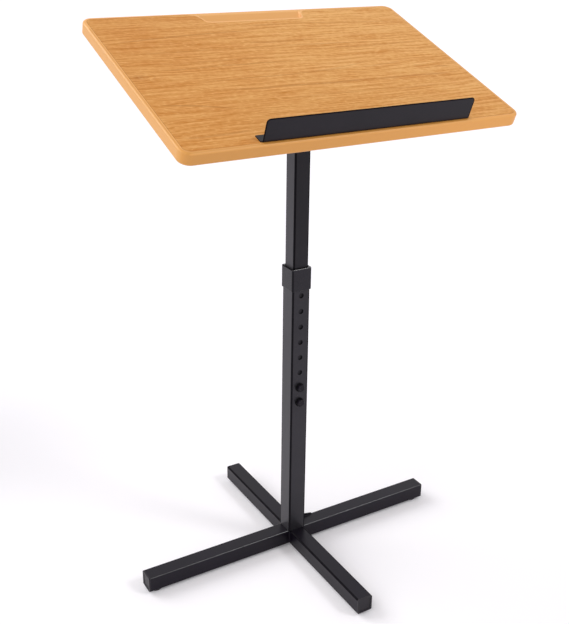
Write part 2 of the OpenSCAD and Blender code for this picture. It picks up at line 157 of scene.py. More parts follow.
class Sheet:
    # the nodes of one new material, or of the world
    def __init__(self, name, world=False):
        self.owner = (bpy.data.worlds if world else bpy.data.materials).new(name)
        self.owner.use_nodes = True
        self.tree = self.owner.node_tree
        self.tree.nodes.clear()

    def node(self, kind, settings=None, sockets=None, out=0):
        made = self.tree.nodes.new(kind)
        for name, value in (settings or {}).items():
            setattr(made, name, value)
        for name, value in (sockets or {}).items():
            if isinstance(value, Wire):
                self.tree.links.new(value.socket, made.inputs[name])
            else:
                made.inputs[name].default_value = value
        return Wire(self, made.outputs[out])

    def place(self):
        return self.node("ShaderNodeTexCoord", out="Object")

    def onDesk(self):
        return self.node("ShaderNodeMapping", {"vector_type": "TEXTURE"},
                         {"Vector": self.place(), "Location": deskOrigin,
                          "Rotation": (deskSlope, 0, 0)})

    def split(self, vector):
        parts = self.node("ShaderNodeSeparateXYZ", None, {0: vector}).socket.node
        return [Wire(self, parts.outputs[axis]) for axis in "XYZ"]

    def join(self, x, y, z):
        return self.node("ShaderNodeCombineXYZ", None, {"X": x, "Y": y, "Z": z})

    def noise(self, vector, scale, detail=2.0, roughness=0.5):
        return self.node("ShaderNodeTexNoise", None,
                         {"Vector": vector, "Scale": scale, "Detail": detail,
                          "Roughness": roughness})

    def cells(self, vector, scale, feature="F1", out="Distance"):
        return self.node("ShaderNodeTexVoronoi", {"feature": feature},
                         {"Vector": vector, "Scale": scale}, out)

    def mix(self, share, first, second):
        # sockets 6 and 7 are the two colours, and output 2 is the mixed one
        return self.node("ShaderNodeMix", {"data_type": "RGBA"},
                         {0: share, 6: asColour(first), 7: asColour(second)}, 2)

    def ramp(self, share, stops):
        wire = self.node("ShaderNodeValToRGB", None, {0: share})
        elements = wire.socket.node.color_ramp.elements
        while len(elements) < len(stops):
            elements.new(0.5)
        for element, (position, colour) in zip(elements, stops):
            element.position = position
            element.color = (*colour, 1)
        return wire

    def bump(self, height, depth):
        return self.node("ShaderNodeBump", None,
                         {"Height": height, "Distance": depth, "Strength": 1.0})

    def show(self, shader, kind="ShaderNodeOutputMaterial"):
        output = self.tree.nodes.new(kind)
        self.tree.links.new(shader.socket, output.inputs["Surface"])
        return self.owner

    def surface(self, sockets, paintedShade=None):
        # painted shade: the share of a plain dark finish without gloss that is mixed in on corners,
        # edges and hollows
        shader = self.node("ShaderNodeBsdfPrincipled", None, sockets)
        if paintedShade is not None:
            flat = self.node("ShaderNodeBsdfPrincipled", None, paintedShadeFinish)
            shader = self.node("ShaderNodeMixShader", None, {0: paintedShade, 1: shader, 2: flat})
        return self.show(shader)


# painted shade: the plain dark finish without gloss that darkens corners, edges and hollows
paintedShadeFinish = {"Base Color": (0.006, 0.0055, 0.007, 1), "Roughness": 0.7, "Specular IOR Level": 0.0}


def asColour(value):
    return value if isinstance(value, Wire) else (*value, 1)


def shade(tone, factor):
    return [c * factor for c in tone]


# Studio

studio = {
    "floorReach": 60,
    "floorColour": (0.955, 0.940, 0.966),
    "floorGlow": 0.09,      # what the camera sees on top of the lit floor, so that it is white
    "skyLight": (0.50, 0.495, 0.515),
    "skySeen": (1.0, 1.0, 1.0),
    "suns": {
        # towards, level, softness in degrees
        "keySun": ((0.45, -0.55, 0.70), 0.205, 14),
        "leftSun": ((-0.85, -0.20, 0.50), 0.31, 70),
        "rearSun": ((-0.50, 0.62, 0.60), 0.38, 40),
    },
}


def seenRay(sheet):
    # 1 on rays from the camera and on those that mirror or pass through something
    seen = sheet.node("ShaderNodeLightPath", out="Is Camera Ray")
    mirrored = sheet.node("ShaderNodeLightPath", out="Is Glossy Ray")
    through = sheet.node("ShaderNodeLightPath", out="Is Transmission Ray")
    return seen.maths("MAXIMUM", mirrored).maths("MAXIMUM", through)


def floorFinish():
    sheet = Sheet("studioFloor")
    cloud = sheet.noise(sheet.place(), 3.0, 3.0)
    plain = studio["floorColour"]
    colour = sheet.mix(cloud, shade(plain, 0.995), plain)
    glow = sheet.mix(seenRay(sheet), (0, 0, 0), (studio["floorGlow"],) * 3)
    return sheet.surface({"Base Color": colour, "Roughness": 0.9, "Specular IOR Level": 0.0,
                          "Emission Color": glow, "Emission Strength": 1.0})


def buildSky():
    sheet = Sheet("studioSky", world=True)
    colour = sheet.mix(seenRay(sheet), studio["skyLight"], studio["skySeen"])
    glow = sheet.node("ShaderNodeBackground", None, {"Color": colour, "Strength": 1.0})
    bpy.context.scene.world = sheet.show(glow, "ShaderNodeOutputWorld")


def buildStudio():
    bm = bmesh.new()
    bmesh.ops.create_grid(bm, x_segments=1, y_segments=1, size=studio["floorReach"])
    mesh = bpy.data.meshes.new("studioFloor")
    bm.to_mesh(mesh)
    bm.free()
    mesh.materials.append(floorFinish())
    floor = bpy.data.objects.new("studioFloor", mesh)
    bpy.context.scene.collection.objects.link(floor)

    for name, (towards, level, softness) in studio["suns"].items():
        lamp = bpy.data.lights.new(name, "SUN")
        lamp.energy = level * math.pi       # level 1 renders a white sheet that faces it white
        lamp.angle = math.radians(softness)
        sun = bpy.data.objects.new(name, lamp)
        sun.matrix_world = Vector(towards).to_track_quat("Z", "Y").to_matrix().to_4x4()
        bpy.context.scene.collection.objects.link(sun)


buildStudio()
buildSky()
print("studio built")


# Finishes of the tubes

paint = {
    "patchScale": 14,       # cells for each metre, as in the next three
    "dustScale": 160,
    "peelScale": 750,       # orange peel
    "gritScale": 2600,
    "peelDepth": 0.018 * mm,
    "tint": (0.93, 0.885, 1.0, 1),
    "sheenTint": (0.93, 0.9, 1.0, 1),
    "glintSteel": (0.07, 0.07, 0.073),
    "edgeReach": 3.2 * mm,  # how far the painted shade runs in from a tube's corner
    "edgeFade": 0.8 * mm,
}


def tubeEdge(first, second, side):
    # 1 on the rounded corners of a square tube, from its two cross axes, where shade is painted
    near = abs(first).maths("MINIMUM", abs(second))
    start = side / 2 - paint["edgeReach"]
    return near.above(start, start + paint["edgeFade"])


def roundedEdge(across, along, halfWide, halfHigh, corner):
    # how far inside a rounded rectangle a point lies that is measured from its middle
    across = (abs(across) - (halfWide - corner)).maths("MAXIMUM", 0)
    along = (abs(along) - (halfHigh - corner)).maths("MAXIMUM", 0)
    return corner - (across * across + along * along).maths("SQRT")


def panelEdge(u, v):
    # how far inside the rim's inner line a point of the desk lies
    band = deskSize["band"]
    return roundedEdge(u, v - deskSize["depth"] / 2, deskSize["width"] / 2 - band,
                       deskSize["depth"] / 2 - band, deskSize["corner"] - band)


def powderCoat(name, tone, rough, specular, shadeEdge=None, glint=None, wear=None, sheen=0.0):
    sheet = Sheet(name)
    spot = sheet.place()
    x, y, z = sheet.split(spot)
    dark = shade(tone, 0.75)
    light = shade(tone, 1.3)
    patches = sheet.noise(spot, paint["patchScale"], 3.0, 0.6)
    dust = sheet.noise(spot, paint["dustScale"], 3.0, 0.65)
    peel = sheet.noise(spot, paint["peelScale"], 1.5)
    grit = sheet.noise(spot, paint["gritScale"], 1.0)
    colour = sheet.mix(patches.above(0.3, 0.7), dark, light)
    colour = sheet.mix(dust.above(0.56, 0.74) * 0.35, colour, shade(light, 1.7))
    shine = rough + (patches - 0.5) * 0.12 + (dust - 0.5) * 0.08
    looks = {"Specular IOR Level": specular, "Specular Tint": paint["tint"],
             "Sheen Weight": sheen, "Sheen Roughness": 0.5, "Sheen Tint": paint["sheenTint"],
             "Normal": sheet.bump(peel + grit * 0.25, paint["peelDepth"])}
    if wear is not None:
        rubbed = wear(sheet, x, y, z)
        colour = sheet.mix(rubbed * 0.4, colour, [c * 2.0 + 0.004 for c in light])
        shine = shine - rubbed * 0.08
    if glint is not None:
        # painted highlight: the upper edges take a metallic steel tone so that they mirror the key
        # light as a bright line
        glintShare = glint(x, y, z) * (0.55 + dust * 0.6)
        colour = sheet.mix(glintShare, colour, paint["glintSteel"])
        shine = shine - glintShare * 0.05
        looks["Metallic"] = glintShare
    looks["Base Color"] = colour
    looks["Roughness"] = shine
    # painted shade: corners, edges and hole walls take a dark finish without gloss
    paintedShade = None if shadeEdge is None else shadeEdge(x, y, z) * (0.7 + dust * 0.3)
    return sheet.surface(looks, paintedShade)


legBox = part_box("side_tube")
legAxis = (legBox[0].z + legBox[1].z) / 2
legSide = legBox[1].z - legBox[0].z
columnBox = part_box("column_tube")
columnSide = columnBox[1].x - columnBox[0].x
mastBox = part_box("mast_tube")
mastSide = mastBox[1].x - mastBox[0].x
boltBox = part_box("lower_bolt")
holes = {
    "pitch": 30 * mm,
    "count": 8,
    "radius": 4.5 * mm,
    "reach": 7 * mm,        # beyond the row's end holes its marks fade out from here
    "fade": 8 * mm,         # to here
}
holes["last"] = (boltBox[0].z + boltBox[1].z) / 2
holes["first"] = holes["last"] + (holes["count"] - 1) * holes["pitch"]


def acrossLegGlint(x, y, z):
    near = abs(y).maths("MINIMUM", z - legAxis)
    return near.above(legSide / 2 - 2.2 * mm, legSide / 2 - 0.8 * mm)


def alongLegEdge(x, y, z):
    return tubeEdge(x, z - legAxis, legSide)


def fromHole(x, z):
    # distance from the middle line of the nearest height hole
    step = (z - (holes["last"] - holes["pitch"] / 2)) / holes["pitch"]
    offCentre = (step.maths("FRACT") - 0.5) * holes["pitch"]
    return (x * x + offCentre * offCentre).maths("SQRT")


def inHoleRow(z):
    above = z.above(holes["last"] - holes["fade"], holes["last"] - holes["reach"])
    return above * z.below(holes["first"] + holes["reach"], holes["first"] + holes["fade"])


def columnEdge(x, y, z):
    # painted shade on the tube's corners and on the walls of its holes
    wall = fromHole(x, z).below(holes["radius"] + 0.05 * mm, holes["radius"] + 0.5 * mm)
    wall = wall * inHoleRow(z) * y.below(-15 * mm, -14 * mm)
    return tubeEdge(x, y, columnSide).maths("MAXIMUM", wall)


def mastEdge(x, y, z):
    return tubeEdge(x, y, mastSide)


def holeWear(sheet, x, y, z):
    # a worn ring round each height hole
    ring = fromHole(x, z).below(holes["radius"], holes["radius"] + 1.3 * mm)
    front = y.below(-columnSide / 2 - 0.1 * mm, -columnSide / 2 + 0.4 * mm)
    return ring * inHoleRow(z) * front


def mastRub(sheet, x, y, z):
    # faint upright lines where the collar slides
    lines = sheet.noise(sheet.join(x * 900, y * 900, z * 6), 1.0, 2.0)
    return lines.above(0.6, 0.74)


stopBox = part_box("paper_stop")
stopSize = {
    "sheet": 1.5 * mm,
    "height": 37 * mm,
    "ear": 3 * mm,          # the flange is that much longer than the lip at each end
    "corner": 6 * mm,
    "screws": 16.575 * mm,  # the screws' distance from the desk's front edge
    "middle": (stopBox[0].x + stopBox[1].x) / 2,
    "half": (stopBox[1].x - stopBox[0].x) / 2,
}


def stopEdges(x, y, z):
    # painted shade along the lip's outline, and a painted contact shadow at its foot
    n = (z - deskOrigin.z) * deskOut.z + (y - deskOrigin.y) * deskOut.y
    across = x - stopSize["middle"]
    inside = roundedEdge(across, n, stopSize["half"] - stopSize["ear"], stopSize["height"],
                         stopSize["corner"])
    outline = inside.below(0.8 * mm, 1.9 * mm) * n.above(1.5 * mm, 2.2 * mm)
    foot = n.below(0.7 * mm, 1.4 * mm)
    return outline.maths("MAXIMUM", foot)


basePaint = powderCoat("basePaint", (0.0033, 0.0021, 0.0052), 0.33, 0.24, glint=acrossLegGlint)
legPaint = powderCoat("legPaint", (0.0030, 0.0019, 0.0049), 0.33, 0.235, alongLegEdge)
columnPaint = powderCoat("columnPaint", (0.0080, 0.0074, 0.0092), 0.33, 0.37, columnEdge,
                         wear=holeWear, sheen=0.09)
mastPaint = powderCoat("mastPaint", (0.0018, 0.0016, 0.0024), 0.33, 0.20, mastEdge, wear=mastRub,
                       sheen=0.30)
headPaint = powderCoat("headPaint", (0.0060, 0.0056, 0.0066), 0.42, 0.36)
stopPaint = powderCoat("stopPaint", (0.0048, 0.0038, 0.0054), 0.40, 0.27, stopEdges)


# Plastics

def mouldedBlack(name, tone, rough, specular, grainScale, grainDepth, edges=None):
    sheet = Sheet(name)
    spot = sheet.place()
    patches = sheet.noise(spot, 45, 2.0)
    grain = sheet.noise(spot, grainScale, 2.0, 0.6)
    pits = sheet.cells(spot, grainScale * 0.8)
    colour = sheet.mix(patches, shade(tone, 0.75), shade(tone, 1.25))
    colour = sheet.mix(grain.above(0.55, 0.8) * 0.4, colour, shade(tone, 2.2))
    shine = rough + (grain - 0.5) * 0.12 + (patches - 0.5) * 0.08
    looks = {"Specular IOR Level": specular, "Specular Tint": paint["tint"],
             "Normal": sheet.bump(grain * 0.6 + pits * 0.4, grainDepth)}
    paintedShade = None
    if edges is not None:
        paintedShade, paintedGlint = edges(*sheet.split(spot))
        # painted highlight: a pale metallic tone along the front of the collar's top
        colour = sheet.mix(paintedGlint, colour, (0.10, 0.10, 0.105))
        shine = shine - paintedGlint * 0.08
        looks["Metallic"] = paintedGlint
    looks["Base Color"] = colour
    looks["Roughness"] = shine
    return sheet.surface(looks, paintedShade)


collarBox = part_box("collar")


def collarEdges(x, y, z):
    # painted shade on the corners and on the top's left edge, and a painted highlight along the front
    # of the top
    corner = tubeEdge(x, y, collarBox[1].x - collarBox[0].x)
    top = z.above(collarBox[1].z - 1.6 * mm, collarBox[1].z - 1.0 * mm)
    front = y.below(collarBox[0].y + 1.6 * mm, collarBox[0].y + 2.2 * mm)
    left = x.below(collarBox[0].x + 1.6 * mm, collarBox[0].x + 2.2 * mm)
    return (corner * 0.6).maths("MAXIMUM", top * left) * (1 - top * front), top * front


capPlastic = mouldedBlack("capPlastic", (0.0070, 0.0058, 0.0074), 0.42, 0.34, 1500, 0.02 * mm)
collarPlastic = mouldedBlack("collarPlastic", (0.0058, 0.0054, 0.0070), 0.27, 0.34, 1300,
                             0.008 * mm, collarEdges)
glidePlastic = mouldedBlack("glidePlastic", (0.0100, 0.0100, 0.0110), 0.55, 0.4, 900, 0.03 * mm)


# Metal

def zincSteel():
    sheet = Sheet("zincSteel")
    spot = sheet.place()
    spangle = sheet.cells(spot, 420, out="Color")
    tone = sheet.node("ShaderNodeSeparateColor", None, {0: spangle})
    lines = sheet.noise(spot, 900, 2.0)
    colour = sheet.mix(tone, (0.54, 0.54, 0.53), (0.68, 0.68, 0.70))
    return sheet.surface({"Base Color": colour, "Metallic": 1.0,
                          "Roughness": 0.30 + tone * 0.12 + (lines - 0.5) * 0.12,
                          "Normal": sheet.bump(lines, 0.01 * mm)})


def blackSteel(name, tone, rough, specular):
    # black oxide on turned steel
    sheet = Sheet(name)
    spot = sheet.place()
    patches = sheet.noise(spot, 220, 3.0, 0.6)
    lines = sheet.noise(spot, 1800, 2.0)
    colour = sheet.mix(patches.above(0.35, 0.7), shade(tone, 0.7), shade(tone, 1.4))
    return sheet.surface({"Base Color": colour, "Metallic": 0.0,
                          "Roughness": rough + (patches - 0.5) * 0.16 + (lines - 0.5) * 0.1,
                          "Specular IOR Level": specular,
                          "Normal": sheet.bump(lines, 0.01 * mm)})


# Desk finishes

grain = {
    # noises drawn out along the grain: scale along it, scale across, plane, detail, roughness
    "drift": (2.4, 6, 0.3, 2.0, 0.5),
    "ripple": (13, 22, 4.1, 2.0, 0.5),
    "bands": (1.1, 18, 1.2, 2.0, 0.5),
    "streaks": (4, 80, 2.7, 3.0, 0.6),
    "lines": (7, 230, 7.4, 2.0, 0.6),
    "fibres": (17, 440, 5.5, 2.0, 0.6),
    "flecks": (130, 260, 8.3, 2.0, 0.5),
    "pores": (150, 2600, 3.3, 1.0, 0.5),
    "growthPitch": 0.0104,  # metres from one growth line to the next
    "ringPitch": 0.0125,
    "places": (0.16, 0.52, 0.88),       # where the three woods below lie on the tone
    # painted light: deep, middle and pale wood on the darker left, and on the paler right
    "left": ((0.520, 0.170, 0.018), (0.672, 0.300, 0.074), (0.79, 0.418, 0.138)),
    "right": ((0.570, 0.209, 0.024), (0.755, 0.381, 0.114), (0.862, 0.505, 0.190)),
    "vein": (0.40, 0.125, 0.016),
    # dark veins of the print: start and end along u, height v at the start, rise, sag, width, strength
    "veins": [
        (-0.19, 0.29, 0.150, 0.001, -0.002, 0.0020, 0.85),
        (0.02, 0.28, 0.1455, 0.001, 0.001, 0.0016, 0.6),
        (-0.285, -0.165, 0.126, -0.029, 0.004, 0.0018, 0.9),
        (-0.285, -0.02, 0.307, 0.021, 0.006, 0.0022, 0.75),
        (-0.06, 0.07, 0.290, 0.001, -0.003, 0.0026, 0.7),
        (-0.28, 0.20, 0.272, -0.006, 0.004, 0.0016, 0.55),
        (-0.25, 0.02, 0.2205, 0.0, 0.002, 0.0014, 0.75),
        (0.20, 0.28, 0.181, -0.016, 0.002, 0.0016, 0.7),
        (-0.20, 0.11, 0.181, 0.009, -0.004, 0.0015, 0.6),
        (0.0, 0.13, 0.185, 0.022, -0.005, 0.0013, 0.5),
        (0.10, 0.20, 0.190, 0.011, -0.004, 0.0013, 0.45),
        (-0.285, -0.17, 0.037, 0.002, -0.002, 0.0022, 0.7),
        (-0.11, 0.24, 0.112, 0.001, 0.003, 0.0018, 0.35),
        (-0.29, 0.0, 0.237, 0.001, 0.001, 0.0013, 0.45),
        (0.08, 0.29, 0.256, 0.006, -0.004, 0.0016, 0.5),
        (-0.05, 0.29, 0.345, -0.010, 0.003, 0.0020, 0.5),
    ],
    "knot": (-0.279, 0.205, 0.016, 0.0075),     # middle u and v, half sizes
}


def grainNoise(sheet, name, along, across):
    alongScale, acrossScale, plane, detail, roughness = grain[name]
    return sheet.noise(sheet.join(along * alongScale, across * acrossScale, plane), 1.0, detail,
                       roughness)


def oakLaminate():
    sheet = Sheet("oakLaminate")
    u, v = sheet.split(sheet.onDesk())[:2]
    drift = grainNoise(sheet, "drift", u, v) - 0.5
    ripple = grainNoise(sheet, "ripple", u, v) - 0.5
    knotU, knotV, knotWide, knotHigh = grain["knot"]
    across = (u - knotU) / knotWide
    along = (v - knotV) / knotHigh
    apart = (across * across + along * along).maths("SQRT")
    push = along * (apart * -0.9).maths("EXPONENT") * 0.006     # grain lines part round the knot
    bent = v + drift * 0.030 + ripple * 0.0050 - push
    bands, streaks, lines, fibres, pores = [
        grainNoise(sheet, name, u, bent) for name in ("bands", "streaks", "lines", "fibres", "pores")]
    flecks = grainNoise(sheet, "flecks", u + v * 0.5, bent)

    # cathedral rings towards the rear of the board
    hump = (u - 0.03) / 0.19
    crown = (0 - hump * hump).maths("EXPONENT")
    rings = ((bent - crown * 0.035 + u * 0.05) * (2 * math.pi / grain["ringPitch"])).maths("SINE")
    rings = rings.above(0.1, 1.0) * v.above(0.20, 0.27) * bands.above(0.35, 0.6)

    # growth lines, about 10 mm apart, that wander and fade
    growth = (bent * (2 * math.pi / grain["growthPitch"]) + streaks * 13).maths("SINE")
    growth = growth * lines.above(0.2, 0.7)

    tone = 0.5 + (bands - 0.5) * 0.16 + (streaks - 0.5) * 0.15 + (lines - 0.5) * 0.70
    tone = tone + (fibres - 0.5) * 1.00 + (flecks - 0.5) * 0.55 + growth * 0.08 - rings * 0.05
    # painted light: the board turns paler towards the right, most of all towards the rear
    colour = sheet.mix(u.above(-0.30, 0.12) * (0.45 + v * 1.4),
                       sheet.ramp(tone, list(zip(grain["places"], grain["left"]))),
                       sheet.ramp(tone, list(zip(grain["places"], grain["right"]))))
    for start, end, height, rise, sag, width, strength in grain["veins"]:
        share = (u - start) / (end - start)
        line = height + share * rise + share * (1 - share) * (4 * sag)
        off = abs(v + drift * 0.012 + ripple * 0.006 - line)
        vein = off.below(width * 0.3, width * 1.8) * share.above(0.0, 0.15) * share.below(0.78, 1.0)
        vein = vein * lines.above(0.25, 0.6)
        colour = sheet.mix(vein * strength * 0.55, colour, grain["vein"])
    eye = apart.below(0.2, 1.0)
    halo = ((apart * 9).maths("SINE")).above(0.0, 1.0) * apart.below(1.0, 3.2)
    colour = sheet.mix(eye * 0.45 + halo * 0.2, colour, grain["vein"])
    colour = sheet.mix(flecks.above(0.60, 0.74) * 0.28, colour, grain["right"][2])
    colour = sheet.mix(pores.above(0.60, 0.72) * 0.30, colour, grain["left"][0])

    # darker seam against the rim
    inside = panelEdge(u, v)
    colour = sheet.mix(inside.below(0.1 * mm, 1.3 * mm) * 0.6, colour, (0.32, 0.11, 0.015))
    shine = 0.50 + (streaks - 0.5) * 0.12 - pores.above(0.60, 0.72) * 0.08
    return sheet.surface({"Base Color": colour, "Roughness": shine, "Specular IOR Level": 0.12,
                          "Normal": sheet.bump(fibres + pores * 0.4, 0.02 * mm)})


def rimPlastic(name, tone, highlightTone):
    sheet = Sheet(name)
    spot = sheet.onDesk()
    u, v, n = sheet.split(spot)
    patches = sheet.noise(spot, 9, 3.0)
    flow = sheet.noise(sheet.join(u * 12, v * 12, n * 160), 1.0, 3.0)
    grainy = sheet.noise(spot, 1400, 2.0)
    colour = sheet.mix(patches, shade(tone, 0.97), shade(tone, 1.04))
    colour = sheet.mix(flow.above(0.5, 0.8) * 0.25, colour, shade(tone, 0.93))
    colour = sheet.mix(grainy.above(0.6, 0.8) * 0.2, colour, shade(tone, 1.15))

    # painted light: the front run is a little paler towards the reader's right and darker at its left
    front = v.below(0, 9 * mm)
    colour = sheet.mix(front * u.above(-0.10, 0.28) * 0.75, colour, shade(tone, 1.24))
    colour = sheet.mix(front * u.below(-0.30, 0.0) * 0.8, colour, shade(tone, 0.91))

    # painted light: the left run is paler and pinker
    left = u.below(1 * mm - deskSize["width"] / 2, 3.5 * mm - deskSize["width"] / 2)
    colour = sheet.mix(left * 0.7, colour, [c * pale for c, pale in zip(tone, (1.02, 1.12, 1.45))])

    # painted highlights: a pale line on the rounding of the front edge, and pale tops where the rim
    # meets the panel and beyond the tray's start
    inside = panelEdge(u, v)
    rolledHighlight = v.below(1.2 * mm, 2.6 * mm) * n.above(-3.2 * mm, -2.2 * mm)
    colour = sheet.mix(rolledHighlight * 0.55, colour, highlightTone)
    onTop = n.above(-0.9 * mm, -0.3 * mm)
    sides = inside.above(-2.0 * mm, -1.2 * mm) * v.above(12 * mm, 18 * mm)
    tray = v.above(deskSize["tray"], deskSize["tray"] + mm)
    colour = sheet.mix(onTop * sides.maths("MAXIMUM", tray), colour, highlightTone)
    return sheet.surface({"Base Color": colour,
                          "Roughness": 0.40 + (patches - 0.5) * 0.12 + (grainy - 0.5) * 0.1,
                          "Specular IOR Level": 0.5,
                          "Normal": sheet.bump(grainy, 0.015 * mm)})


def chipboard():
    sheet = Sheet("chipboard")
    spot = sheet.onDesk()
    chips = sheet.cells(spot, 260, out="Color")
    tone = sheet.node("ShaderNodeSeparateColor", None, {0: chips})
    gaps = sheet.cells(spot, 260, feature="DISTANCE_TO_EDGE")
    dust = sheet.noise(spot, 900, 3.0)
    colour = sheet.ramp(tone, [(0.0, (0.30, 0.19, 0.095)), (0.5, (0.50, 0.35, 0.19)),
                               (1.0, (0.66, 0.50, 0.31))])
    colour = sheet.mix(gaps.below(0.0, 0.09) * 0.6, colour, (0.20, 0.12, 0.06))
    return sheet.surface({"Base Color": colour, "Roughness": 0.85 + (dust - 0.5) * 0.2,
                          "Specular IOR Level": 0.25,
                          "Normal": sheet.bump(gaps + dust * 0.5, 0.15 * mm)})


def backingSheet():
    sheet = Sheet("backingSheet")
    spot = sheet.onDesk()
    u, v, n = sheet.split(spot)
    cloud = sheet.noise(spot, 10, 3.0)
    fibres = sheet.noise(sheet.join(u * 60, v * 500, n), 1.0, 3.0)
    specks = sheet.noise(spot, 700, 2.0)
    colour = sheet.mix(cloud, (0.50, 0.375, 0.24), (0.60, 0.46, 0.31))
    colour = sheet.mix(fibres.above(0.5, 0.8) * 0.35, colour, (0.42, 0.30, 0.18))
    colour = sheet.mix(specks.above(0.62, 0.75) * 0.4, colour, (0.36, 0.25, 0.15))
    return sheet.surface({"Base Color": colour, "Roughness": 0.6 + (specks - 0.5) * 0.2,
                          "Specular IOR Level": 0.35,
                          "Normal": sheet.bump(fibres, 0.03 * mm)})


finishes = {
    "zinc_steel": zincSteel(),
    "black_steel": blackSteel("blackSteel", (0.0054, 0.0036, 0.0080), 0.40, 0.20),
    "oak_laminate": oakLaminate(),
    "rim_plastic": rimPlastic("rimPlastic", (0.705, 0.318, 0.062), (0.84, 0.41, 0.110)),
    "chipboard": chipboard(),
    "backing_sheet": backingSheet(),
    "base_paint": basePaint,
    "column_paint": columnPaint,
    "mast_paint": mastPaint,
    "stop_paint": stopPaint,
    "cap_plastic": capPlastic,
    "collar_plastic": collarPlastic,
    "glide_plastic": glidePlastic,
}
washerSteel = blackSteel("washerSteel", (0.0020, 0.0018, 0.0022), 0.55, 0.12)
ownFinish = {"front_leg": legPaint, "rear_leg": legPaint, "head_plate": headPaint,
             "pen_tray": rimPlastic("trayPlastic", (0.80, 0.390, 0.108), (0.89, 0.475, 0.165)),
             "head_gussets": headPaint, "upper_washer": washerSteel, "lower_washer": washerSteel}
for part in frame["record"]["subparts"]:
    finish = ownFinish.get(part["node"], finishes[part["material_slot"]])
    slots = nodes[part["node"]].material_slots
    for index in range(len(slots)):
        slots[index].link = "OBJECT"
        slots[index].material = finish
print("finishes made:", len(bpy.data.materials))


# New pieces are bmesh work; each one rides on its body and takes its finish from a slot

def addPiece(name, bm, body, finish, replaced=(), sharp=32):
    mesh = bpy.data.meshes.new(name)
    bm.to_mesh(mesh)
    bm.free()
    loose = mesh.attributes.get("custom_normal")
    if loose is not None:
        mesh.attributes.remove(loose)
    mesh.materials.clear()
    mesh.materials.append(finish)
    mesh.polygons.foreach_set("use_smooth", [True] * len(mesh.polygons))
    mesh.polygons.foreach_set("material_index", [0] * len(mesh.polygons))
    mesh.set_sharp_from_angle(angle=math.radians(sharp))
    piece = bpy.data.objects.new(name, mesh)
    bpy.context.scene.collection.objects.link(piece)
    weighted = piece.modifiers.new("evenNormals", "WEIGHTED_NORMAL")
    weighted.keep_sharp = True
    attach(piece, body)
    if replaced:
        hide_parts(*replaced)
    return piece


def edgesOver(bm, angle):
    limit = math.radians(angle)
    return [edge for edge in bm.edges if edge.is_manifold and edge.calc_face_angle() > limit]


def nodeCopy(nodeName):
    # a clean copy of a node: doubles merged, flat faces joined
    bm = bmesh.new()
    bm.from_mesh(nodes[nodeName].data)
    bmesh.ops.remove_doubles(bm, verts=bm.verts, dist=0.001 * mm)
    bmesh.ops.dissolve_limit(bm, angle_limit=math.radians(0.5), verts=bm.verts, edges=bm.edges)
    return bm


def easeEdges(bm, edges, width, segments=2):
    bmesh.ops.bevel(bm, geom=edges, offset=width, offset_type="OFFSET", affect="EDGES",
                    segments=segments, profile=0.5, material=-1, clamp_overlap=True)


softened = {
    # node: piece, body, edge rounding, sharpest angle left alone, segments
    "paper_stop": ("bentPaperStop", "mast", 0.35 * mm, 40, 2),
    "pen_tray": ("mouldedPenTray", "mast", 0.6 * mm, 40, 3),
    "collar": ("collarMoulding", "base", 1.5 * mm, 60, 4),
    "left_cap": ("leftEndCap", "base", 0.45 * mm, 60, 2),
    "right_cap": ("rightEndCap", "base", 0.45 * mm, 60, 2),
    "front_cap": ("frontEndCap", "base", 0.45 * mm, 60, 2),
    "rear_cap": ("rearEndCap", "base", 0.45 * mm, 60, 2),
    "glides": ("floorGlides", "base", 0.5 * mm, 30, 2),
    "stop_tab": ("columnStopTab", "base", 0.4 * mm, 30, 2),
    "head_plate": ("headMountPlate", "mast", 0.4 * mm, 60, 2),
    "head_gussets": ("headGussetPair", "mast", 0.4 * mm, 20, 2),
    "upper_washer": ("upperLockWasher", "upper_washer", 0.15 * mm, 60, 2),
    "lower_washer": ("lowerLockWasher", "lower_washer", 0.15 * mm, 60, 2),
}
slotOf = {part["node"]: part["material_slot"] for part in frame["record"]["subparts"]}


def buildSoftened():
    for nodeName, (name, body, width, angle, segments) in softened.items():
        bm = nodeCopy(nodeName)
        easeEdges(bm, edgesOver(bm, angle), width, segments)
        finish = ownFinish.get(nodeName, finishes[slotOf[nodeName]])
        addPiece(name, bm, body, finish, [nodeName])


def ringOf(made):
    # the new open ring after edges were pushed out
    verts = {item for item in made if isinstance(item, bmesh.types.BMVert)}
    return [item for item in made
            if isinstance(item, bmesh.types.BMEdge) and set(item.verts) <= verts]


def vertsOf(ring):
    # each once and in the ring's order; a set's order would differ from run to run
    return list(dict.fromkeys(vert for edge in ring for vert in edge.verts))


def edgesOf(verts):
    return list(dict.fromkeys(edge for vert in verts for edge in vert.link_edges))


def openEdges(bm):
    return [edge for edge in bm.edges if edge.is_boundary]


def settled(bm):
    # extruding makes the sides in an order that differs from run to run, so the same mesh is
    # made anew, in order of place
    fresh = bmesh.new()
    twins = {vert: fresh.verts.new(vert.co)
             for vert in sorted(bm.verts, key=lambda vert: tuple(vert.co))}
    for face in sorted(bm.faces, key=lambda face: sorted(tuple(vert.co) for vert in face.verts)):
        fresh.faces.new([twins[vert] for vert in face.verts])
    bm.free()
    return fresh


def grow(bm, ring, rise=0, scale=1.0):
    # a new ring, scaled about the axis and moved along it
    ring = ringOf(bmesh.ops.extrude_edge_only(bm, edges=ring)["geom"])
    verts = vertsOf(ring)
    bmesh.ops.scale(bm, verts=verts, vec=(scale, scale, 1))
    bmesh.ops.translate(bm, verts=verts, vec=(0, 0, rise))
    return ring


def setCircle(ring, radius, height):
    for vert in vertsOf(ring):
        flat = Vector((vert.co.x, vert.co.y, 0)).normalized() * radius
        vert.co = Vector((flat.x, flat.y, height))


def startRing(bm, radius, height, segments):
    verts = bmesh.ops.create_circle(bm, segments=segments, radius=radius,
                                    matrix=Matrix.Translation((0, 0, height)))["verts"]
    return edgesOf(verts)


def closeHoles(bm):
    bmesh.ops.holes_fill(bm, edges=openEdges(bm))
    bmesh.ops.recalc_face_normals(bm, faces=bm.faces)


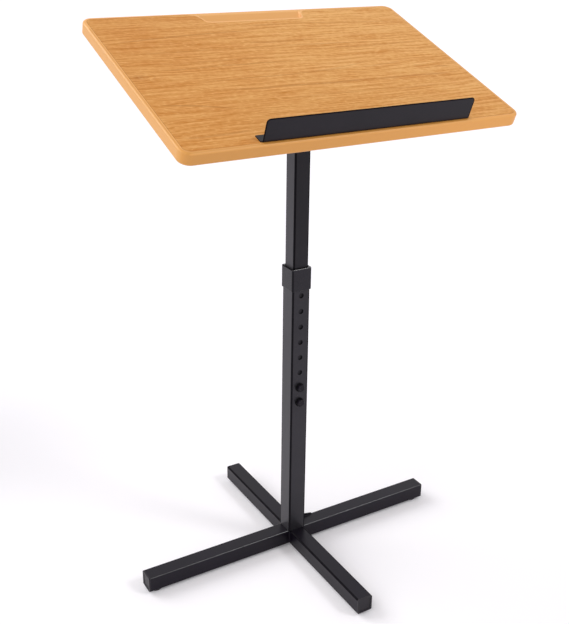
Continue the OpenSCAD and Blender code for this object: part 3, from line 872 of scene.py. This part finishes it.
lockBolt = {
    "flats": 13 * mm,
    "head": 5.3 * mm,
    "sides": 48,
    "seat": 19.5 * mm,      # the head's seat, ahead of the column's axis
    "seatRise": 0.3 * mm,   # slope round the seat
    "seatInset": 0.25 * mm,
    "chamfer": 30,          # degrees
    "chamferDrop": 0.12 * mm,
    "crown": 0.985,         # circle on top of the chamfer, over the flats
    "dish": 3.6 * mm,       # radius of the shallow dish in the head's top
    "dishDepth": 0.35 * mm,
    "dishFloor": 0.86,      # the dish's floor over its mouth
    "plain": 1.2 * mm,      # plain neck under the head
    "runOut": 0.4 * mm,     # step from the neck to the thread's root
    "thread": 4.0 * mm,     # radius over the thread
    "root": 3.45 * mm,
    "rootInside": 0.15 * mm,            # the ridge starts that far inside the root
    "pitch": 1.25 * mm,
    "ridgeFoot": 0.92,      # widths of the ridge, over the pitch
    "ridgeTop": 0.14,
    "turnSteps": 24,
    "point": 1.0 * mm,
    "pointEnd": 0.72,       # the tip over the root
    "ease": 0.12 * mm,      # rounding of the head's edges, and the shortest edge that gets it
    "easeLeast": 2 * mm,
}


def hexReach(angle, flats):
    # distance from the axis to a hexagon's side, with a corner at angle 0
    return flats / 2 / math.cos((angle % (math.pi / 3)) - math.pi / 6)


def makeBoltHead(bm, size):
    half = size["flats"] / 2
    ring = startRing(bm, half, 0, size["sides"])
    seat = vertsOf(ring)
    ring = grow(bm, ring, size["seatRise"])
    low = vertsOf(ring)
    ring = grow(bm, ring, size["head"] - size["seatRise"])
    high = vertsOf(ring)
    for vert in seat + low + high:
        angle = math.atan2(vert.co.y, vert.co.x)
        reach = hexReach(angle, size["flats"])
        inset = size["seatInset"] if vert in seat else 0
        vert.co.x = math.cos(angle) * (reach - inset)
        vert.co.y = math.sin(angle) * (reach - inset)
        if vert in high:
            slope = math.tan(math.radians(size["chamfer"]))
            vert.co.z -= (reach - half) * slope + size["chamferDrop"]
    ring = grow(bm, ring)
    crown = half * size["crown"]
    setCircle(ring, crown, size["head"])
    ring = grow(bm, ring, scale=size["dish"] / crown)
    ring = grow(bm, ring, -size["dishDepth"], size["dishFloor"])
    bmesh.ops.contextual_create(bm, geom=ring)


def makeBoltShank(bm, size, shank):
    neck = grow(bm, openEdges(bm))
    setCircle(neck, size["thread"], 0)
    neck = grow(bm, neck, -size["plain"])
    neck = grow(bm, neck, -size["runOut"], size["root"] / size["thread"])
    neck = grow(bm, neck, -(shank - size["plain"] - size["runOut"] - size["point"]))
    grow(bm, neck, -size["point"], size["pointEnd"])
    closeHoles(bm)


def makeBoltThread(bm, size, shank):
    # a ridge with a closed section, turned down the shank
    turns = int((shank - size["plain"] - size["point"]) / size["pitch"]) - 1
    half = size["pitch"] / 2
    inside = size["root"] - size["rootInside"]
    foot = half * size["ridgeFoot"]
    top = half * size["ridgeTop"]
    section = [(inside, -foot), (size["thread"], -top), (size["thread"], top), (inside, foot)]
    start = -(shank - size["point"] - half)
    verts = [bm.verts.new((reach, 0, start + rise)) for reach, rise in section]
    edges = [bm.edges.new((verts[i], verts[(i + 1) % 4])) for i in range(4)]
    bmesh.ops.spin(bm, geom=verts + edges, cent=(0, 0, 0), axis=(0, 0, 1),
                   dvec=(0, 0, size["pitch"] / size["turnSteps"]), angle=2 * math.pi * turns,
                   steps=size["turnSteps"] * turns)
    closeHoles(bm)


def buildLockBolt(name, nodeName):
    size = lockBolt
    low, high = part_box(nodeName)
    shank = high.y + size["seat"]       # length under the head
    bm = bmesh.new()
    makeBoltHead(bm, size)
    makeBoltShank(bm, size, shank)
    makeBoltThread(bm, size, shank)
    bm = settled(bm)
    bm.normal_update()
    onHead = 0.1 * mm       # the head's edges lie higher than this
    easeEdges(bm, [edge for edge in edgesOver(bm, 50)
                   if min(vert.co.z for vert in edge.verts) > onHead
                   and edge.calc_length() > size["easeLeast"]], size["ease"])
    middle = (low.z + high.z) / 2
    turn = Matrix.Translation((0, -size["seat"], middle)) @ Matrix.Rotation(math.pi / 2, 4, "X")
    bmesh.ops.transform(bm, verts=bm.verts, matrix=turn)
    addPiece(name, settled(bm), nodeName, finishes["black_steel"], [nodeName], 28)


crossScrew = {
    "sides": 24,
    "headRatio": 1.9,       # width of the head over the thread
    "headHigh": 2.6 * mm,
    # rise over the head's height and scale of each ring up the head
    "profile": [(0.45, 1.0), (0.3, 0.93), (0.17, 0.84), (0.08, 0.84)],
    "slot": 0.16,           # half width of a recess arm, over the head's radius
    "arm": 0.52,            # reach of an arm, likewise
    "armAngle": 20,         # degrees either side of an arm's middle
    "recess": (0.6, 0.55),  # depth over the head's height, and scale of the floor
}


def recessReach(angle):
    # the outline reaches out near an arm's middle, and comes in between the arms
    off = abs((angle + math.pi / 4) % (math.pi / 2) - math.pi / 4)
    if off >= math.radians(crossScrew["armAngle"]):
        return crossScrew["slot"] * 1.5
    return crossScrew["arm"] * (1.02 if off > math.radians(1) else 1)


def makeCrossScrew(thread, length):
    # a pan head that looks along Z, with its seat at the origin
    high = crossScrew["headHigh"]
    radius = thread * crossScrew["headRatio"] / 2
    bm = bmesh.new()
    ring = startRing(bm, radius, 0, crossScrew["sides"])
    for rise, scale in crossScrew["profile"]:
        ring = grow(bm, ring, high * rise, scale)
    ring = grow(bm, ring)
    for vert in vertsOf(ring):
        reach = recessReach(math.atan2(vert.co.y, vert.co.x))
        flat = Vector((vert.co.x, vert.co.y, 0)).normalized() * reach * radius
        vert.co.x = flat.x
        vert.co.y = flat.y
    depth, floor = crossScrew["recess"]
    ring = grow(bm, ring, -high * depth, floor)
    bmesh.ops.contextual_create(bm, geom=ring)
    ring = grow(bm, openEdges(bm), scale=thread / 2 / radius)
    ring = grow(bm, ring, -(length - thread), 0.98)
    grow(bm, ring, -thread, 0.3)
    closeHoles(bm)
    return bm


def buildCrossScrews(name, nodeName, places, outward, size):
    # outward is the way the heads look
    turn = Vector(outward).to_track_quat("Z", "Y").to_matrix().to_4x4()
    bm = bmesh.new()
    for place in places:
        one = makeCrossScrew(size["thread"], size["length"])
        bmesh.ops.transform(one, verts=one.verts, matrix=Matrix.Translation(place) @ turn)
        single = bpy.data.meshes.new("screwPart")
        one.to_mesh(single)
        one.free()
        bm.from_mesh(single)
        bpy.data.meshes.remove(single)
    addPiece(name, settled(bm), "mast", finishes["zinc_steel"], [nodeName], 40)


welds = {
    "ripple": 1.1 * mm,     # distance from one ripple to the next
    "sides": 8,
    "thinEnd": 0.35,        # radius at a bead's ends, over its own
    "swell": 5,             # how fast the ends grow
    "crest": 0.07,          # ripples, over the bead's radius
    "trough": -0.05,
    "uneven": 0.03,
    "outset": 0.35 * mm,    # upright beads stand that far out of the legs' corner
    "radius": 1.7 * mm,
    "gap": 2.6 * mm,        # from a bead's end to the tube's edge
    "tabRadius": 1.1 * mm,
    "tabGap": 2 * mm,
    "headRadius": 1.6 * mm,
    "headGap": 2.5 * mm,
}


def layBead(bm, start, end, radius):
    start = Vector(start)
    run = Vector(end) - start
    count = max(6, int(run.length / welds["ripple"]) * 2)
    turn = Vector((0, 0, 1)).rotation_difference(run.normalized()).to_matrix().to_4x4()
    before = welds["thinEnd"]
    made = bmesh.ops.create_circle(bm, segments=welds["sides"], radius=radius * before,
                                   matrix=Matrix.Translation(start) @ turn)["verts"]
    ring = edgesOf(made)
    bmesh.ops.contextual_create(bm, geom=ring)
    step = run / count
    for index in range(1, count + 1):
        # rounded ends, a ripple and a little unevenness between
        share = index / count
        taper = min(1, welds["thinEnd"] + welds["swell"] * min(share, 1 - share))
        ripple = welds["crest"] if index % 2 else welds["trough"]
        now = taper * (1 + ripple + random.uniform(-welds["uneven"], welds["uneven"]))
        ring = ringOf(bmesh.ops.extrude_edge_only(bm, edges=ring)["geom"])
        verts = vertsOf(ring)
        bmesh.ops.translate(bm, verts=verts, vec=step)
        centre = start + step * index
        bmesh.ops.scale(bm, verts=verts, vec=(now / before,) * 3, space=Matrix.Translation(-centre))
        before = now
    bmesh.ops.contextual_create(bm, geom=ring)


def buildWelds():
    random.seed(7)
    inner = legSide / 2 + welds["outset"]
    low = legBox[0].z + welds["gap"]
    high = legBox[1].z - welds["gap"]
    bm = bmesh.new()
    for x in (-inner, inner):
        for y in (-inner, inner):
            layBead(bm, (x, y, low), (x, y, high), welds["radius"])
    # along the tab's foot
    tabLow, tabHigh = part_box("stop_tab")
    foot = legBox[1].z
    layBead(bm, (tabLow.x + welds["tabGap"], tabLow.y, foot),
            (tabHigh.x - welds["tabGap"], tabLow.y, foot), welds["tabRadius"])
    bmesh.ops.recalc_face_normals(bm, faces=bm.faces)
    addPiece("baseWelds", settled(bm), "base", basePaint, (), 60)

    bm = bmesh.new()
    radius = welds["headRadius"]
    side = mastSide / 2
    end = side - welds["headGap"]
    high = mastBox[1].z - radius
    low = mastBox[1].z - mastSide * math.tan(deskSlope) + radius
    for x in (-side, side):
        layBead(bm, (x, -end, low), (x, end, high), radius)
    bmesh.ops.recalc_face_normals(bm, faces=bm.faces)
    addPiece("headWelds", settled(bm), "mast", headPaint, (), 60)


def deskPoint(u, v, n):
    return deskPlace @ Vector((u, v, n))


deskScrew = {
    "thread": 4.8 * mm,
    "length": 16 * mm,
    "inset": 14 * mm,       # from the head plate's left and right edges
    "run": 46 * mm,         # up and down the slope from the plate's middle
}
stopScrew = {
    "thread": 3.5 * mm,
    "length": 14 * mm,
}


def buildFasteners():
    buildLockBolt("upperLockBolt", "upper_bolt")
    buildLockBolt("lowerLockBolt", "lower_bolt")

    plateLow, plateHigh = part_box("head_plate")
    across = (plateHigh.x - plateLow.x) / 2 - deskScrew["inset"]
    middle = (deskPlace.inverted() @ ((plateLow + plateHigh) / 2)).y
    under = [deskPoint(x, middle + y, -deskSize["thick"])
             for x in (-across, across) for y in (-deskScrew["run"], deskScrew["run"])]
    buildCrossScrews("deskScrews", "desk_screws", under, -deskOut, deskScrew)

    screwsLow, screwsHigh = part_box("stop_screws")
    centre = (screwsLow.x + screwsHigh.x) / 2
    run = screwsHigh.x - screwsLow.x - stopScrew["thread"] * crossScrew["headRatio"]
    behind = [deskPoint(centre + x, stopSize["screws"], stopSize["sheet"])
              for x in (-run / 2, 0, run / 2)]
    buildCrossScrews("stopScrews", "stop_screws", behind, deskOut, stopScrew)


buildSoftened()
buildFasteners()
buildWelds()
print("pieces built")
